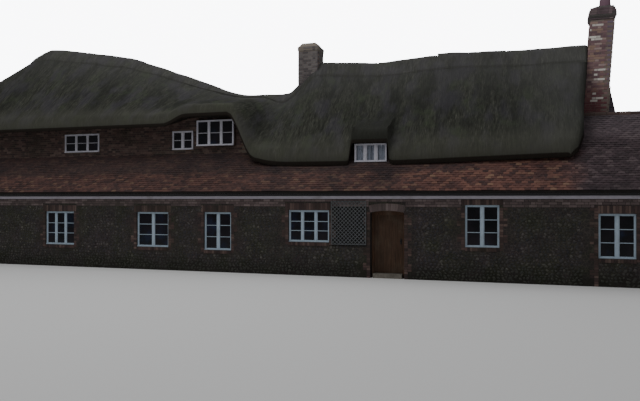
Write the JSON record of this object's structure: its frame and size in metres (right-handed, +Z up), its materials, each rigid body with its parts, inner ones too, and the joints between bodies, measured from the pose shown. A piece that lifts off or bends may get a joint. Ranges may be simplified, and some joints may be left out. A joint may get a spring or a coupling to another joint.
{
  "type": "thatched cottage",
  "caption": "Long thatched cottage of flint and brick with a clay-tiled lean-to along its front, a tiled extension, brick chimney stacks, eyebrow dormers and a hinged plank front door.",
  "frame": {"origin": "middle of the plan at ground level", "axes": "+Z up, +X to the right along the front, which looks along -Y"},
  "size_m": [25.8, 7.2052, 8.9103],
  "materials": {
    "flint": "rubble flint in pale lime mortar, weathered",
    "brick": "old dull red brick, lime pointed",
    "stack_brick": "weathered brick with pale bands",
    "thatch": "old straw, dark and mossy",
    "thatch_cap": "old straw ridge",
    "clay_tile": "hand-made plain tiles, red-brown",
    "old_tile": "hand-made plain tiles, purple-brown with lichen",
    "clay": "red clay, weathered",
    "white_paint": "white paint on timber, worn",
    "black_iron": "black paint on cast iron",
    "oak": "old oak, dark",
    "door_wood": "brown stained planks",
    "trellis_wood": "weathered grey slats",
    "floor_stone": "worn stone flags",
    "floor_timber": "plain boards"
  },
  "bodies": {
    "house": {"front_wall_left": "flint", "front_wall_right": "flint", "front_wall_over_door": "flint", "door_arch": "brick", "extension_front_wall": "flint", "extension_end_wall": "flint", "extension_back_wall": "flint", "upper_front_wall_left": "brick", "upper_front_wall_right": "brick", "right_gable_wall": "brick", "left_end_wall": "flint", "back_wall": "flint", "ground_floor": "floor_stone", "extension_floor": "floor_stone", "upper_floor": "floor_timber", "beam_left": "oak", "beam_right": "oak", "post_1": "oak", "post_2": "oak", "post_3": "oak", "thatch_right_front": "thatch", "thatch_right_back": "thatch", "thatch_left_front": "thatch", "thatch_left_back": "thatch", "ridge_cap_right": "thatch_cap", "ridge_cap_left": "thatch_cap", "lean_to_tiles_left": "clay_tile", "lean_to_tiles_right": "clay_tile", "extension_tiles_front": "old_tile", "extension_tiles_back": "old_tile", "extension_ridge_tiles": "clay", "fascia": "white_paint", "gutter": "black_iron", "left_stack": "stack_brick", "left_stack_cap": "stack_brick", "right_stack": "stack_brick", "right_stack_cap": "stack_brick", "right_stack_pot": "clay", "window_far_left": "white_paint", "window_left": "white_paint", "window_tall": "white_paint", "window_middle": "white_paint", "window_right": "white_paint", "window_extension": "white_paint", "window_back_left": "white_paint", "window_back_middle": "white_paint", "window_back_right": "white_paint", "dormer_right": "white_paint", "dormer_middle": "white_paint", "dormer_left": "white_paint", "dormer_far_left": "white_paint", "door_frame": "oak", "door_hinge_1": "black_iron", "door_hinge_2": "black_iron", "door_threshold": "floor_stone", "trellis": "trellis_wood"},
    "door": {"door_leaf": "door_wood", "door_latch": "black_iron"}
  },
  "joints": [
    {"name": "front_door", "type": "hinge", "parent": "house", "child": "door", "pos_m": [3.643, -3.142, 0.9], "axis": [0, 0, 1], "range_deg": [0, 95]}
  ]
}
